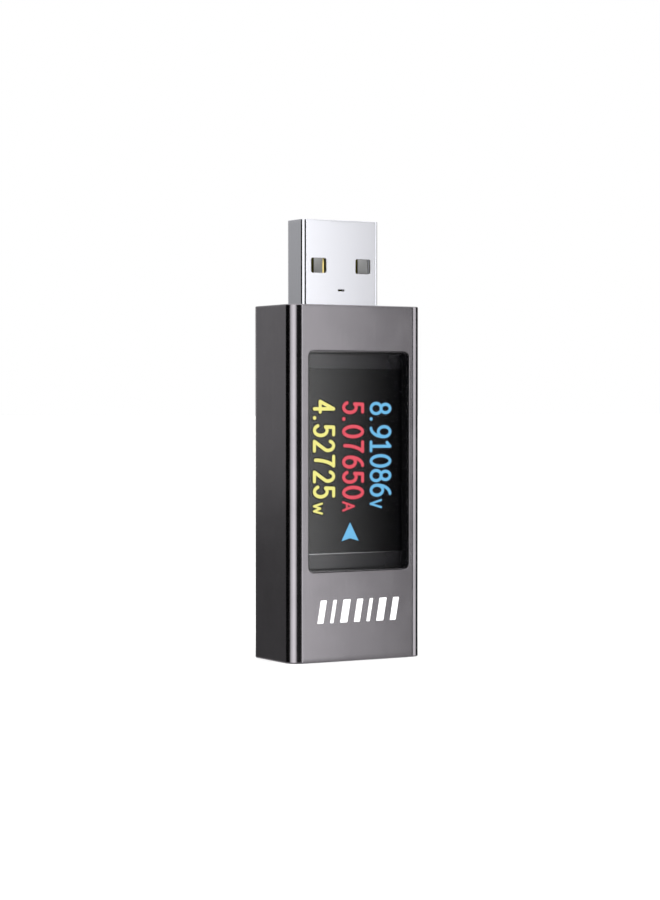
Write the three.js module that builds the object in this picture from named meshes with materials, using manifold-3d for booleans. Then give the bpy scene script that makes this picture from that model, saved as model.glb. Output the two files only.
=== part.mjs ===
// USB power meter: a flat-sided aluminium tube with a display window in front, a USB-A plug
// at the top and a USB-A socket at the bottom, as an assembly of separate pieces.
// Millimetres. +Z runs from the socket end up to the plug, the display faces -Y, and the
// origin is the middle of the underside of the whole object's box.

import * as THREE from "three";
import { mergeVertices } from "three/addons/utils/BufferGeometryUtils.js";
import Module from "manifold-3d";

const wasm = await Module();
wasm.setup();

// ---- driving dimensions ----

// case tube
const caseWidth = 20.6;
const caseDepth = 11.4;
const caseLength = 48;
const caseWall = 1;
const caseCorner = 1.7;
const endChamfer = 0.2; // on the outer edge of both cut ends
const frontY = -caseDepth / 2;
const innerX = caseWidth / 2 - caseWall;
const innerY = caseDepth / 2 - caseWall;

// window in the front wall
const windowX = 0.2; // middle of the window, right of the tube's middle
const windowZ = 26.95;
const windowWidth = 15.9;
const windowHeight = 29.8;
const windowCorner = 0.9;
const pocketDepth = 0.7;
const ledge = 0.45; // width of the step that the window is taped to
const lensThickness = 0.5;
const lensRecess = 0.08;
const lensGap = 0.1; // all round, between the lens and the pocket

// display behind the window
const displayWidth = 16.6;
const displayHeight = 30;
const displayFrontY = -innerY + 0.06;
const displayBackY = -3.3;
const glassBackY = displayFrontY + 0.7;
const connectorTopZ = 36.3;
const ribbonEntryY = -1.45;
const ribbonWidth = 9;

// circuit board
const boardFrontY = -0.9;
const boardBackY = 0.1;
const boardHalfWidth = 9.2;
const boardBottomZ = 15;
const boardTopZ = 40.8;
const solderGap = 0.02; // height at which parts stand on the board
const armLowZ = 3; // ends of the arms that reach into the ribs
const armTopZ = 45.2;
const keyNotchZ = 22.6; // top of the notch that clears the key
const legProng = 0.8; // length along Z of a shell's prong that goes through the board
const plugLegZ = 39.5;
const socketLegZ = 16;

// USB-A plug
const plugWidth = 12;
const plugThickness = 4.5;
const plugReach = 11.75; // out of the case
const plugCorner = 0.55;
const plugY = 1.1; // behind the tube's middle
const plugRootZ = 41.2;
const plugTipZ = caseLength + plugReach;
const shellSheet = 0.3;
const plugWindowX = 3.5;
const plugWindowWidth = 2.4;
const plugWindowLow = 52.5;
const plugWindowHigh = 54.5;
const insulatorFaceY = 1.2;
const insulatorBackY = plugY + plugThickness / 2 - shellSheet - 0.03;
const insulatorTipZ = plugTipZ - 0.5;

// USB-A socket
const socketWidth = 13.1;
const socketThickness = 5.7;
const socketCorner = 0.6;
const socketY = -0.2;
const socketMouthZ = 0.35;
const socketRootZ = 14.4;
const cavityFloorZ = 11;
const springX = 3.1; // middle of each retention spring, either side of the socket's middle
const springRootZ = 10.2;
const springTipZ = 4.2;

// contacts of plug and socket
const contactX = [-3.5, -1, 1, 3.5];
const tongueThickness = 1.84;
const tongueFrontY = socketY - socketThickness / 2 + shellSheet + 0.7;
const tongueBackY = tongueFrontY + tongueThickness;
const tongueHalfWidth = 5.5;
const tongueTipZ = 1.25;
const bladeRootZ = 10.7;
const bladeRootY = tongueBackY - 0.45;

// function key on the right narrow side
const keyLength = 12;
const keyWidth = 3.2;
const keyBottomZ = 9;
const keyProud = 0.6;
const keyZ = keyBottomZ + keyLength / 2;
const switchZ = 18.9; // where the key's boss meets the switch
const switchY = 1.15;
const keyInnerX = innerX - 0.7;
const plungerTipX = keyInnerX - 0.25;
const switchBackX = 7.6; // face of the switch body towards the key

// ---- finishes ----

function finish(color, metalness, roughness, more = {}) {
  return new THREE.MeshStandardMaterial({ color, metalness, roughness, ...more });
}

const finishes = {
  anodised: finish(0x5d5c61, 0.9, 0.4),
  smokedLens: finish(0x101013, 0, 0.08, { transparent: true, opacity: 0.75 }),
  tape: finish(0x0b0b0b, 0, 0.8),
  litPanel: finish(0x141418, 0, 0.2, { emissive: 0x0a1418 }),
  whitePlastic: finish(0xe9e9e6, 0, 0.5),
  charcoalPlastic: finish(0x2f3032, 0, 0.7),
  palePlastic: finish(0xa9a9ac, 0, 0.6),
  nickel: finish(0xdcdde0, 1, 0.22),
  gold: finish(0xd8b04a, 1, 0.3),
  boardGreen: finish(0x10402c, 0, 0.45),
  chipBlack: finish(0x17171a, 0, 0.6),
  ribbonAmber: finish(0xa5651a, 0, 0.4),
  ceramicTan: finish(0xa88a62, 0, 0.6),
};

// ---- solids ----

function solidFrom(geometry) {
  const bare = geometry.index ? geometry.toNonIndexed() : geometry.clone();
  bare.deleteAttribute("normal");
  bare.deleteAttribute("uv");
  const merged = mergeVertices(bare, 1e-4);
  return new wasm.Manifold(
    new wasm.Mesh({
      numProp: 3,
      vertProperties: merged.attributes.position.array,
      triVerts: new Uint32Array(merged.index.array),
    }),
  );
}

function geometryFrom(solid) {
  const made = solid.getMesh();
  const geometry = new THREE.BufferGeometry();
  geometry.setAttribute("position", new THREE.BufferAttribute(made.vertProperties, 3));
  geometry.setIndex(new THREE.BufferAttribute(made.triVerts, 1));
  geometry.computeVertexNormals();
  return geometry;
}

function join(...solids) {
  return solids.reduce((whole, next) => whole.add(next));
}

function cut(from, ...tools) {
  return tools.reduce((rest, tool) => rest.subtract(tool), from);
}

// A box between two corners.
function block(x0, x1, y0, y1, z0, z1) {
  const geometry = new THREE.BoxGeometry(x1 - x0, y1 - y0, z1 - z0);
  geometry.translate((x0 + x1) / 2, (y0 + y1) / 2, (z0 + z1) / 2);
  return solidFrom(geometry);
}

// A rectangle with round corners about (x, y).
function roundedRect(width, height, radius, x = 0, y = 0) {
  const right = width / 2 - radius;
  const top = height / 2 - radius;
  const shape = new THREE.Shape();
  shape.absarc(x + right, y - top, radius, -Math.PI / 2, 0, false);
  shape.absarc(x + right, y + top, radius, 0, Math.PI / 2, false);
  shape.absarc(x - right, y + top, radius, Math.PI / 2, Math.PI, false);
  shape.absarc(x - right, y - top, radius, Math.PI, Math.PI * 1.5, false);
  shape.closePath();
  return shape;
}

// A shape carried along Z, with an optional chamfer on both ends.
function prism(shape, z0, z1, chamfer = 0, arcSteps = 4) {
  const geometry = new THREE.ExtrudeGeometry(shape, {
    depth: z1 - z0 - 2 * chamfer,
    bevelEnabled: chamfer > 0,
    bevelThickness: chamfer,
    bevelSize: chamfer,
    bevelOffset: -chamfer,
    bevelSegments: 1,
    curveSegments: arcSteps,
  });
  geometry.translate(0, 0, z0 + chamfer);
  return geometry;
}

// A shape drawn in X and Z, carried from y0 to y1.
function frontSlab(shape, y0, y1, chamfer = 0, arcSteps = 3) {
  const geometry = prism(shape, -y1, -y0, chamfer, arcSteps);
  geometry.rotateX(Math.PI / 2);
  return solidFrom(geometry);
}

// A shape drawn in Y and Z, carried from x0 to x1.
function sideSlab(shape, x0, x1, chamfer = 0, arcSteps = 3) {
  const geometry = prism(shape, x0, x1, chamfer, arcSteps);
  const turn = new THREE.Matrix4().makeBasis(
    new THREE.Vector3(0, 1, 0),
    new THREE.Vector3(0, 0, 1),
    new THREE.Vector3(1, 0, 0),
  );
  geometry.applyMatrix4(turn);
  return solidFrom(geometry);
}

// A strip of sheet that follows a line of (y, z) points, about x.
function bentStrip(line, sheet, width, x) {
  const points = line.map(([y, z]) => new THREE.Vector2(y, z));
  const side = points.map((point, i) => {
    const before = points[Math.max(i - 1, 0)];
    const after = points[Math.min(i + 1, points.length - 1)];
    const inward = point.clone().sub(before).normalize();
    const outward = after.clone().sub(point).normalize();
    const along = inward.clone().add(outward).normalize();
    const straight = i === 0 ? outward : inward;
    const stretch = 1 / along.dot(straight);
    return new THREE.Vector2(-along.y, along.x).multiplyScalar((sheet / 2) * stretch);
  });
  const left = points.map((point, i) => point.clone().add(side[i]));
  const right = points.map((point, i) => point.clone().sub(side[i]));
  const outline = new THREE.Shape([...left, ...right.reverse()]);
  return sideSlab(outline, x - width / 2, x + width / 2);
}

// A folded sheet tube along Z.
function shellTube(width, thickness, corner, y, z0, z1) {
  const outside = roundedRect(width, thickness, corner, 0, y);
  const inside = roundedRect(
    width - 2 * shellSheet,
    thickness - 2 * shellSheet,
    corner - shellSheet,
    0,
    y,
  );
  const hollow = solidFrom(prism(inside, z0 - 1, z1 + 1, 0, 3));
  return cut(solidFrom(prism(outside, z0, z1, 0, 3)), hollow);
}

// ---- case ----

function caseTube() {
  const outside = roundedRect(caseWidth, caseDepth, caseCorner);
  const inside = roundedRect(2 * innerX, 2 * innerY, caseCorner - caseWall);
  const bore = solidFrom(prism(inside, -1, caseLength + 1));
  const tube = cut(solidFrom(prism(outside, 0, caseLength, endChamfer)), bore);
  const ribs = boardRibs();
  const pocket = roundedRect(windowWidth, windowHeight, windowCorner, windowX, windowZ);
  const opening = roundedRect(
    windowWidth - 2 * ledge,
    windowHeight - 2 * ledge,
    windowCorner - ledge,
    windowX,
    windowZ,
  );
  const keySlot = roundedRect(keyWidth + 0.25, keyLength + 0.25, keyWidth / 2, 0, keyZ);
  return cut(
    join(tube, ...ribs),
    frontSlab(pocket, frontY - 1, frontY + pocketDepth),
    frontSlab(opening, frontY - 1, frontY + caseWall + 0.5),
    sideSlab(keySlot, innerX - 0.5, caseWidth / 2 + 1),
  );
}

// Two ribs on each narrow wall hold the edges of the board. The right pair starts above the key.
function boardRibs() {
  const ribHeight = 0.7;
  const ribThickness = 0.5;
  const play = 0.1;
  const bury = 0.05; // how far a rib's root runs into the wall
  const rightLowZ = keyNotchZ + 1;
  const ribs = [];
  for (const [sideSign, low] of [[-1, armLowZ], [1, rightLowZ]]) {
    const root = sideSign * (innerX + bury);
    const crest = sideSign * (innerX - ribHeight);
    const x0 = Math.min(root, crest);
    const x1 = Math.max(root, crest);
    const front = boardFrontY - play;
    const back = boardBackY + play;
    ribs.push(block(x0, x1, front - ribThickness, front, low, armTopZ));
    ribs.push(block(x0, x1, back, back + ribThickness, low, armTopZ));
  }
  return ribs;
}

function windowLens() {
  const shape = roundedRect(
    windowWidth - 2 * lensGap,
    windowHeight - 2 * lensGap,
    windowCorner - lensGap,
    windowX,
    windowZ,
  );
  const face = frontY + lensRecess;
  return frontSlab(shape, face, face + lensThickness, 0.06);
}

function windowAdhesive() {
  const play = 0.2;
  const band = 0.26;
  const thickness = 0.09;
  const width = windowWidth - 2 * play;
  const height = windowHeight - 2 * play;
  const corner = windowCorner - play;
  const back = frontY + pocketDepth - 0.01;
  const front = back - thickness;
  const outside = roundedRect(width, height, corner, windowX, windowZ);
  const inside = roundedRect(
    width - 2 * band,
    height - 2 * band,
    corner - band,
    windowX,
    windowZ,
  );
  return cut(frontSlab(outside, front, back), frontSlab(inside, front - 1, back + 1));
}

// A cap that fills the end of the tube round a connector of the given size.
function endCap(z0, z1, connectorWidth, connectorThickness, corner, y) {
  const play = 0.15;
  const outside = roundedRect(2 * (innerX - play), 2 * (innerY - play), 0.6);
  const opening = roundedRect(
    connectorWidth + 2 * play,
    connectorThickness + 2 * play,
    corner + play,
    0,
    y,
  );
  return cut(
    solidFrom(prism(outside, z0, z1, 0.1)),
    solidFrom(prism(opening, z0 - 1, z1 + 1)),
  );
}

// ---- display ----

function displayGlass() {
  const gap = 0.1;
  const shape = roundedRect(
    displayWidth - 2 * gap,
    displayHeight - 2 * gap,
    0.3,
    windowX,
    windowZ,
  );
  return frontSlab(shape, displayFrontY, glassBackY);
}

// Tray with a lip round the glass, open at the top where the ribbon leaves.
function displayBacklight() {
  const lip = 0.3;
  const outside = roundedRect(
    displayWidth + 2 * lip,
    displayHeight + 2 * lip,
    0.5,
    windowX,
    windowZ,
  );
  const inside = roundedRect(displayWidth, displayHeight, 0.3, windowX, windowZ);
  const top = windowZ + displayHeight / 2;
  const gate = ribbonWidth / 2 + 0.7;
  const floorY = glassBackY + 0.03;
  return cut(
    frontSlab(outside, displayFrontY + 0.05, displayBackY),
    frontSlab(inside, displayFrontY - 1, floorY),
    block(windowX - gate, windowX + gate, displayFrontY - 1, floorY, top - 1, top + 1),
  );
}

// Ribbon that leaves the top of the glass, turns back and goes down into its connector.
function displayFlex() {
  const startY = -4.3;
  const returnY = -2.4;
  const startZ = windowZ + displayHeight / 2;
  const bendZ = startZ + 0.8;
  const radius = (returnY - startY) / 2;
  const bend = new THREE.EllipseCurve(
    startY + radius,
    bendZ,
    radius,
    radius,
    Math.PI,
    0,
    true,
  );
  const line = [
    [startY, startZ],
    ...bend.getPoints(8).map((p) => [p.x, p.y]),
    [returnY, connectorTopZ + 2.4],
    [ribbonEntryY, connectorTopZ + 0.9],
    [ribbonEntryY, connectorTopZ - 0.9],
  ];
  return bentStrip(line, 0.12, ribbonWidth, windowX);
}

function flexConnector() {
  const slotHalf = ribbonWidth / 2 + 0.2;
  const bodyHalf = ribbonWidth / 2 + 0.9;
  const slotPlay = 0.16;
  const depth = 1.05;
  const lowZ = 33;
  const back = boardFrontY - solderGap;
  const slot = block(
    windowX - slotHalf,
    windowX + slotHalf,
    ribbonEntryY - slotPlay,
    ribbonEntryY + slotPlay,
    connectorTopZ - 1.2,
    connectorTopZ + 1,
  );
  const left = windowX - bodyHalf;
  const right = windowX + bodyHalf;
  return cut(block(left, right, back - depth, back, lowZ, connectorTopZ), slot);
}

// ---- board ----

// Outline with an arm on each side of the plug, one beside the socket and a notch at the key.
function mainPcb() {
  const edge = boardHalfWidth;
  const socketArm = socketWidth / 2 + 0.3;
  const plugArm = plugWidth / 2 + 0.35;
  const keyNotchX = 7;
  const outline = [
    [-edge, armLowZ],
    [-socketArm, armLowZ],
    [-socketArm, boardBottomZ],
    [keyNotchX, boardBottomZ],
    [keyNotchX, keyNotchZ],
    [edge, keyNotchZ],
    [edge, armTopZ],
    [plugArm, armTopZ],
    [plugArm, boardTopZ],
    [-plugArm, boardTopZ],
    [-plugArm, armTopZ],
    [-edge, armTopZ],
  ];
  const shape = new THREE.Shape(outline.map(([x, z]) => new THREE.Vector2(x, z)));
  const board = frontSlab(shape, boardFrontY, boardBackY);
  const slots = [];
  for (const sideSign of [-1, 1]) {
    slots.push(legSlot(sideSign * (plugWidth - shellSheet) * 0.5, plugLegZ));
    slots.push(legSlot(sideSign * (socketWidth - shellSheet) * 0.5, socketLegZ));
  }
  return cut(board, ...slots);
}

function legSlot(x, z) {
  const play = 0.15;
  const halfX = shellSheet / 2 + play;
  const halfZ = legProng / 2 + play;
  return block(x - halfX, x + halfX, boardFrontY - 1, boardBackY + 1, z - halfZ, z + halfZ);
}

// A leg that leaves a shell's side wall, lies over the board and goes through its slot.
function shellLeg(x, rootZ, prongZ) {
  const low = Math.min(rootZ, prongZ - legProng / 2);
  const high = Math.max(rootZ, prongZ + legProng / 2);
  const x0 = x - shellSheet / 2;
  const x1 = x + shellSheet / 2;
  const armY = boardBackY + 0.15;
  const prongTip = boardFrontY - 0.3;
  return join(
    block(x0, x1, armY, armY + 1.2, low, high),
    block(x0, x1, prongTip, armY + 0.1, prongZ - legProng / 2, prongZ + legProng / 2),
  );
}

// Plain chip package standing on the front (-1) or back (1) of the board.
function chip(face, x, z, width, height, thickness) {
  const foot = face < 0 ? boardFrontY - solderGap : boardBackY + solderGap;
  const top = foot + face * thickness;
  const shape = roundedRect(width, height, 0.12, x, z);
  return frontSlab(shape, Math.min(foot, top), Math.max(foot, top), 0.06, 1);
}

// Chip package with gull-wing legs along its two long sides.
function leadedChip(face, x, z, width, height, thickness, legsPerSide) {
  const foot = face < 0 ? boardFrontY - solderGap : boardBackY + solderGap;
  const pitch = height / legsPerSide;
  const reach = 0.8;
  const parts = [chip(face, x, z, width, height, thickness)];
  for (const sideSign of [-1, 1]) {
    for (let i = 0; i < legsPerSide; i++) {
      const legZ = z + (i - (legsPerSide - 1) / 2) * pitch;
      const inner = x + sideSign * (width / 2 - 0.2);
      const outer = x + sideSign * (width / 2 + reach);
      const top = foot + face * 0.2;
      parts.push(
        block(
          Math.min(inner, outer),
          Math.max(inner, outer),
          Math.min(foot, top),
          Math.max(foot, top),
          legZ - pitch * 0.22,
          legZ + pitch * 0.22,
        ),
      );
    }
  }
  return join(...parts);
}

// ---- function key and its switch ----

function functionKey() {
  const cap = roundedRect(keyWidth, keyLength, keyWidth / 2 - 0.05, 0, keyZ);
  const flange = roundedRect(keyWidth + 1.2, keyLength + 1.2, keyWidth / 2, 0, keyZ);
  const flangeTop = innerX - 0.05;
  const boss = block(plungerTipX + 0.05, keyInnerX + 0.1, switchY - 0.8, switchY + 0.8,
    switchZ - 1.2, switchZ + 1.2);
  return join(
    sideSlab(cap, keyInnerX, caseWidth / 2 + keyProud, 0.25, 4),
    sideSlab(flange, keyInnerX, flangeTop, 0, 4),
    boss,
  );
}

function tactSwitchBody() {
  const bottom = boardBackY + solderGap;
  const body = block(4.9, switchBackX, bottom, 2 * switchY - bottom, switchZ - 2, switchZ + 2);
  const well = block(5.8, switchBackX + 1, switchY - 0.62, switchY + 0.62,
    switchZ - 1.02, switchZ + 1.02);
  return cut(body, well);
}

function tactSwitchPlunger() {
  return block(6.5, plungerTipX, switchY - 0.5, switchY + 0.5, switchZ - 0.9, switchZ + 0.9);
}

// ---- USB-A plug ----

function plugShell() {
  const tube = shellTube(plugWidth, plugThickness, plugCorner, plugY, plugRootZ, plugTipZ);
  const windows = [-1, 1].map((sideSign) => {
    const shape = roundedRect(
      plugWindowWidth,
      plugWindowHigh - plugWindowLow,
      0.25,
      sideSign * plugWindowX,
      (plugWindowLow + plugWindowHigh) / 2,
    );
    return frontSlab(shape, plugY - plugThickness, plugY + plugThickness, 0, 2);
  });
  const front = plugY - plugThickness / 2;
  const lance = block(-0.52, 0.52, front - 1, front + 0.5, 50.05, 50.32);
  const legs = [-1, 1].map((sideSign) =>
    shellLeg((sideSign * (plugWidth - shellSheet)) / 2, plugRootZ + 0.1, plugLegZ),
  );
  return join(cut(tube, ...windows, lance, ...seam()), ...legs);
}

// The gap where the folded sheet meets along the back, with a square key that locks it.
function seam() {
  const gap = 0.12;
  const lockDepth = 0.9;
  const lockLow = plugTipZ - 4.35;
  const lockHigh = plugTipZ - 2.5;
  const y0 = plugY + 1.5;
  const y1 = plugY + plugThickness;
  const h = gap / 2;
  return [
    block(-h, h, y0, y1, plugRootZ - 1, lockLow + h),
    block(-lockDepth - h, h, y0, y1, lockLow - h, lockLow + h),
    block(-lockDepth - h, -lockDepth + h, y0, y1, lockLow - h, lockHigh + h),
    block(-lockDepth - h, h, y0, y1, lockHigh - h, lockHigh + h),
    block(-h, h, y0, y1, lockHigh - h, plugTipZ + 1),
  ];
}

// White block with a groove for each contact, a wall that closes the hollow at its root and
// two bosses that fill the rear windows.
function plugInsulator() {
  const half = plugWidth / 2 - shellSheet - 0.05;
  const lead = 0.35;
  const hollowFloorZ = plugRootZ + 3;
  const profile = new THREE.Shape(
    [
      [plugY - plugThickness / 2, plugRootZ + 0.2],
      [insulatorBackY, plugRootZ + 0.2],
      [insulatorBackY, insulatorTipZ],
      [insulatorFaceY + lead, insulatorTipZ],
      [insulatorFaceY, insulatorTipZ - lead],
      [insulatorFaceY, hollowFloorZ],
      [plugY - plugThickness / 2, hollowFloorZ],
    ].map(([y, z]) => new THREE.Vector2(y, z)),
  );
  const grooveHalf = 0.6;
  const grooveFloorY = insulatorFaceY + 0.27;
  const grooveTopZ = insulatorTipZ - 0.9;
  const faceY = insulatorFaceY;
  const grooves = contactX.flatMap((x) => {
    const x0 = x - grooveHalf;
    const x1 = x + grooveHalf;
    return [
      block(x0, x1, faceY - 1, grooveFloorY, hollowFloorZ, grooveTopZ),
      block(x0, x1, faceY - 0.02, grooveFloorY, plugRootZ - 1, hollowFloorZ + 1),
    ];
  });
  const bossPlay = 0.08;
  const bossSlit = 0.5; // left open at the tip side of each window
  const bossRise = 0.27;
  const bosses = [-1, 1].map((sideSign) => {
    const x = sideSign * plugWindowX;
    const reach = plugWindowWidth / 2 - bossPlay;
    const low = plugWindowLow + bossPlay;
    const high = plugWindowHigh - bossSlit;
    return block(x - reach, x + reach, insulatorBackY - 0.2, insulatorBackY + bossRise, low, high);
  });
  const bore = roundedRect(2 * half, plugThickness - 2 * shellSheet - 0.06, 0.35, 0, plugY);
  const body = sideSlab(profile, -half, half).intersect(
    solidFrom(prism(bore, plugRootZ, plugTipZ)),
  );
  return cut(join(body, ...bosses), ...grooves);
}

// Gold strip in its groove, stepping down behind the block to a tail on the board.
function plugContact(x) {
  const outerTipGap = 1.7; // power contacts reach further towards the tip
  const innerTipGap = 2.7;
  const tipZ = plugTipZ - (Math.abs(x) > 2 ? outerTipGap : innerTipGap);
  const faceY = insulatorFaceY + 0.13;
  const tailY = boardBackY + 0.15;
  const line = [
    [faceY, tipZ],
    [faceY, plugRootZ - 0.2],
    [tailY, boardTopZ - 0.6],
    [tailY, boardTopZ - 1.9],
  ];
  return bentStrip(line, 0.2, 1, x);
}

// ---- USB-A socket ----

function socketShell() {
  const tube = shellTube(
    socketWidth,
    socketThickness,
    socketCorner,
    socketY,
    socketMouthZ,
    socketRootZ,
  );
  const windows = [-1, 1].map((sideSign) =>
    block(sideSign * springX - 1.2, sideSign * springX + 1.2, socketY - 4, socketY + 4,
      springTipZ - 0.3, springRootZ + 0.2),
  );
  const legs = [-1, 1].map((sideSign) =>
    shellLeg((sideSign * (socketWidth - shellSheet)) / 2, socketRootZ - 0.1, socketLegZ),
  );
  return join(cut(tube, ...windows), ...legs);
}

// Pale tongue with a channel for each blade, and the block behind it with terminal tunnels.
function socketTongue() {
  const wall = shellSheet + 0.05;
  const rootZ = cavityFloorZ + 0.15;
  const rearShape = roundedRect(
    socketWidth - 2 * wall,
    socketThickness - 2 * wall,
    socketCorner - shellSheet,
    0,
    socketY,
  );
  const rear = solidFrom(prism(rearShape, cavityFloorZ, socketRootZ - 0.15, 0, 3));
  const tongue = frontSlab(
    roundedRect(2 * tongueHalfWidth, rootZ - tongueTipZ, 0.3, 0, (rootZ + tongueTipZ) / 2),
    tongueFrontY,
    tongueBackY,
    0.15,
    2,
  );
  const channels = contactX.map((x) =>
    block(x - 0.62, x + 0.62, tongueBackY - 1.1, tongueBackY + 1, 2.4, cavityFloorZ),
  );
  const tunnels = contactX.map((x) =>
    block(x - 0.55, x + 0.55, tongueBackY - 0.75, tongueBackY + 0.8,
      cavityFloorZ - 0.1, socketRootZ),
  );
  return cut(join(rear, tongue), ...channels, ...tunnels);
}

// Sprung blade: rises out of the channel to a crest that a plug presses back.
function socketContact(x) {
  const line = [
    [bladeRootY, bladeRootZ],
    [tongueBackY - 0.12, 8.2],
    [tongueBackY + 0.3, 5.7],
    [tongueBackY + 0.36, 5.2],
    [tongueBackY + 0.28, 4.7],
    [tongueBackY - 0.35, 3.1],
  ];
  return bentStrip(line, 0.2, 0.9, x);
}

// Fixed tail of a contact: out through the rear block and down onto the board.
function socketTerminal(x) {
  const tailY = boardBackY + 0.15;
  const line = [
    [bladeRootY, bladeRootZ + 0.2],
    [bladeRootY, 13.1],
    [tailY, 14.2],
    [tailY, 16.7],
  ];
  return bentStrip(line, 0.2, 0.8, x);
}

// Retention spring in a window of the shell; side is -1 for the front wall and 1 for the back.
function socketSpring(x, side) {
  const wallY = socketY + side * (socketThickness / 2 - shellSheet / 2);
  const inward = -side;
  const line = [
    [wallY, springRootZ],
    [wallY + inward * 0.08, 8.8],
    [wallY + inward * 0.48, 5.9],
    [wallY + inward * 0.55, 5.4],
    [wallY + inward * 0.48, 4.9],
    [wallY + inward * 0.22, springTipZ],
  ];
  return bentStrip(line, 0.25, 1.9, x);
}

// ---- assembly ----

const meter = new THREE.Group();
meter.position.x = -keyProud / 2; // the key stands out on one side, so the box's middle moves

function addPiece(name, solid, material) {
  const mesh = new THREE.Mesh(geometryFrom(solid), material);
  mesh.name = name;
  meter.add(mesh);
}

addPiece("case_tube", caseTube(), finishes.anodised);
addPiece("window_lens", windowLens(), finishes.smokedLens);
addPiece("window_adhesive", windowAdhesive(), finishes.tape);
addPiece(
  "socket_end_cap",
  endCap(0.3, 2.3, socketWidth, socketThickness, socketCorner, socketY),
  finishes.charcoalPlastic,
);
addPiece(
  "plug_end_cap",
  endCap(caseLength - 2.3, caseLength - 0.25, plugWidth, plugThickness, plugCorner, plugY),
  finishes.charcoalPlastic,
);

addPiece("display_glass", displayGlass(), finishes.litPanel);
addPiece("display_backlight", displayBacklight(), finishes.whitePlastic);
addPiece("display_flex", displayFlex(), finishes.ribbonAmber);
addPiece("flex_connector", flexConnector(), finishes.palePlastic);

addPiece("main_pcb", mainPcb(), finishes.boardGreen);
addPiece("microcontroller", chip(-1, 0, 27.5, 5, 5, 0.85), finishes.chipBlack);
addPiece("timing_crystal", chip(-1, 5.4, 28, 1.6, 3.2, 0.8), finishes.nickel);
addPiece("current_sensor", leadedChip(-1, -4.4, 20.4, 3, 3, 1, 4), finishes.chipBlack);
addPiece("voltage_regulator", leadedChip(-1, 3.6, 20.4, 1.6, 2.9, 1.1, 3), finishes.chipBlack);
addPiece("shunt_resistor", chip(1, 0, 30.4, 3.2, 6.3, 0.6), finishes.chipBlack);
addPiece("power_inductor", chip(1, 4.8, 29, 4, 4, 2), finishes.chipBlack);
addPiece("input_capacitor", chip(1, -5, 33.4, 2.8, 3.5, 1.9), finishes.ceramicTan);
addPiece("output_capacitor", chip(1, -5, 22.4, 2.8, 3.5, 1.9), finishes.ceramicTan);

addPiece("function_key", functionKey(), finishes.anodised);
addPiece("tact_switch_body", tactSwitchBody(), finishes.chipBlack);
addPiece("tact_switch_plunger", tactSwitchPlunger(), finishes.whitePlastic);

addPiece("plug_shell", plugShell(), finishes.nickel);
addPiece("plug_insulator", plugInsulator(), finishes.whitePlastic);
addPiece("socket_shell", socketShell(), finishes.nickel);
addPiece("socket_tongue", socketTongue(), finishes.palePlastic);
contactX.forEach((x, i) => {
  addPiece(`plug_contact_${i + 1}`, plugContact(x), finishes.gold);
  addPiece(`socket_contact_${i + 1}`, socketContact(x), finishes.gold);
  addPiece(`socket_terminal_${i + 1}`, socketTerminal(x), finishes.gold);
});
[
  [-springX, -1],
  [springX, -1],
  [-springX, 1],
  [springX, 1],
].forEach(([x, side], i) => {
  addPiece(`socket_spring_${i + 1}`, socketSpring(x, side), finishes.nickel);
});

export default meter;
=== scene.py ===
import math

import bmesh
import bpy
import numpy as np
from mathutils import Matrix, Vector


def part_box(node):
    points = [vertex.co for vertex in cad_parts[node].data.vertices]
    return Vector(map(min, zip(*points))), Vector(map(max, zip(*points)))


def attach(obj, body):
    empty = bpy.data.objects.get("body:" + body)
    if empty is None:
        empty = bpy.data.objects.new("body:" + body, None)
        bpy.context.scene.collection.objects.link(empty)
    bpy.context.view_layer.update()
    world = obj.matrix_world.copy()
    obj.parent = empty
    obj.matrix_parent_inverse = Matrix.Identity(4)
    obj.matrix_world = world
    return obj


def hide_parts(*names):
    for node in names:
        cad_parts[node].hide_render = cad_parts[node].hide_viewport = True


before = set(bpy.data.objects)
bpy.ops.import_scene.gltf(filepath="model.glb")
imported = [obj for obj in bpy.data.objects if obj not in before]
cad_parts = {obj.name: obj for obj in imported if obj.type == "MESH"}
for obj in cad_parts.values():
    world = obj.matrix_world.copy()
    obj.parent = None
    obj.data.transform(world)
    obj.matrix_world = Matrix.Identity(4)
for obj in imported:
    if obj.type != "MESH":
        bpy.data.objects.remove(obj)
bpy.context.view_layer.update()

mm = 0.001  # shapes are worked out in millimetres and become metres in makePiece


def nodeBox(name):  # lowest and highest corner of a CAD node, in millimetres
    low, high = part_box(name)
    return np.array(low) / mm, np.array(high) / mm


tubeLow, tubeHigh = nodeBox("case_tube")
lensLow, lensHigh = nodeBox("window_lens")
tubeMiddle = (tubeLow + tubeHigh) / 2
lensMiddle = (lensLow + lensHigh) / 2

cameraSettings = {
    "turn": 30.4,  # degrees round the tube, towards its left side
    "distance": 318.6,  # mm, from the tube's middle line
    "height": 34.6,
    "tilt": 1.12,  # degrees downwards
    "lens": 92.94,
    "sideShift": -0.0076,
}


def setCamera():  # on a circle round the tube, looking back at its middle line
    turn = math.radians(cameraSettings["turn"])
    reach = cameraSettings["distance"]
    data = bpy.data.cameras.new("camera")
    data.lens = cameraSettings["lens"]
    data.shift_x = cameraSettings["sideShift"]
    data.clip_start = 0.01
    camera = bpy.data.objects.new("camera", data)
    bpy.context.scene.collection.objects.link(camera)
    camera.location = (
        (tubeMiddle[0] - reach * math.sin(turn)) * mm,
        (tubeMiddle[1] - reach * math.cos(turn)) * mm,
        cameraSettings["height"] * mm,
    )
    camera.rotation_euler = (math.radians(90 - cameraSettings["tilt"]), 0, -turn)
    bpy.context.scene.camera = camera


setCamera()
print("camera set")


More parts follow.
